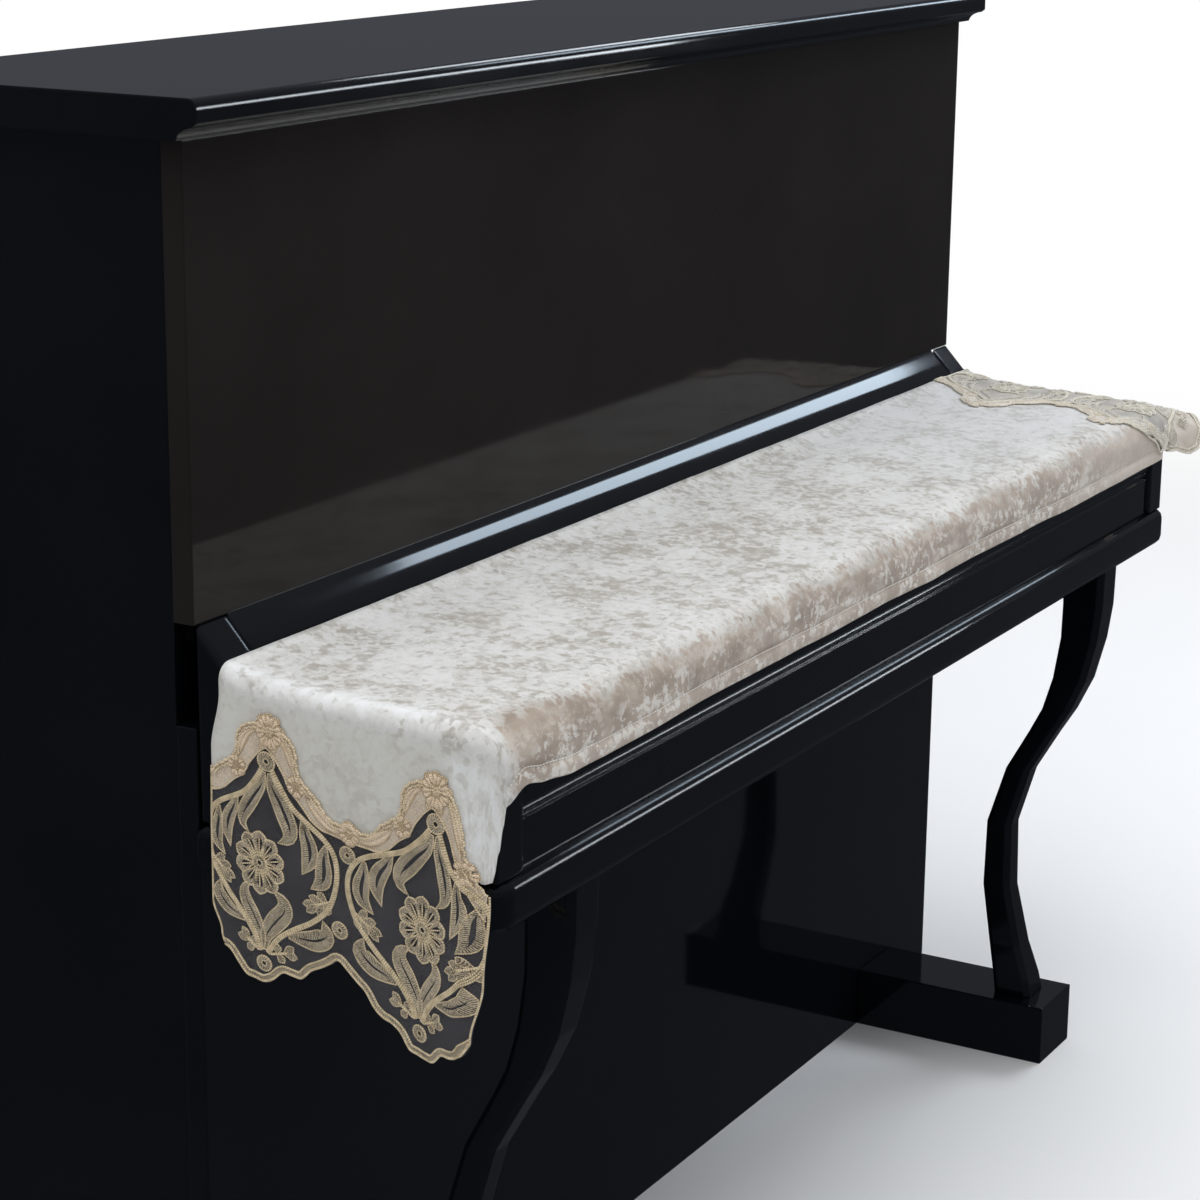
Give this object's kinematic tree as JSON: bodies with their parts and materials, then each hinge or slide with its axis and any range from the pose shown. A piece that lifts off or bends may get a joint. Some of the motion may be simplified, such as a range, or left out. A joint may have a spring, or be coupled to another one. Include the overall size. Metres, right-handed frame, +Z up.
{
  "type": "piano keyboard cover on an upright piano",
  "caption": "Long velvet cover with embroidered lace ends, draped over the closed key lid of a plain black upright piano to dress it and keep dust off.",
  "frame": {"origin": "on the floor under the middle of the piano, 40 mm behind the front of its panels", "axes": "+X along the keyboard to the player's right, +Y to the back of the piano, +Z up"},
  "size_m": [1.5749, 0.6518, 1.236],
  "materials": {
    "lacquer": "gloss black polyester lacquer",
    "velvet": "crushed ivory velvet with grey and taupe flecks",
    "lace": "sheer grey net with raised beige and gold embroidery"
  },
  "bodies": {
    "root": {"case_side_left": "lacquer", "case_side_right": "lacquer", "case_back": "lacquer", "base_board": "lacquer", "lower_panel": "lacquer", "upper_panel": "lacquer", "toe_left": "lacquer", "toe_right": "lacquer", "leg_left": "lacquer", "leg_right": "lacquer", "key_bed": "lacquer", "arm_left": "lacquer", "arm_right": "lacquer", "key_lid": "lacquer", "lid_moulding": "lacquer", "key_slip": "lacquer", "top_lid": "lacquer", "velvet_panel": "velvet", "lace_left": "lace", "lace_right": "lace"}
  },
  "joints": []
}
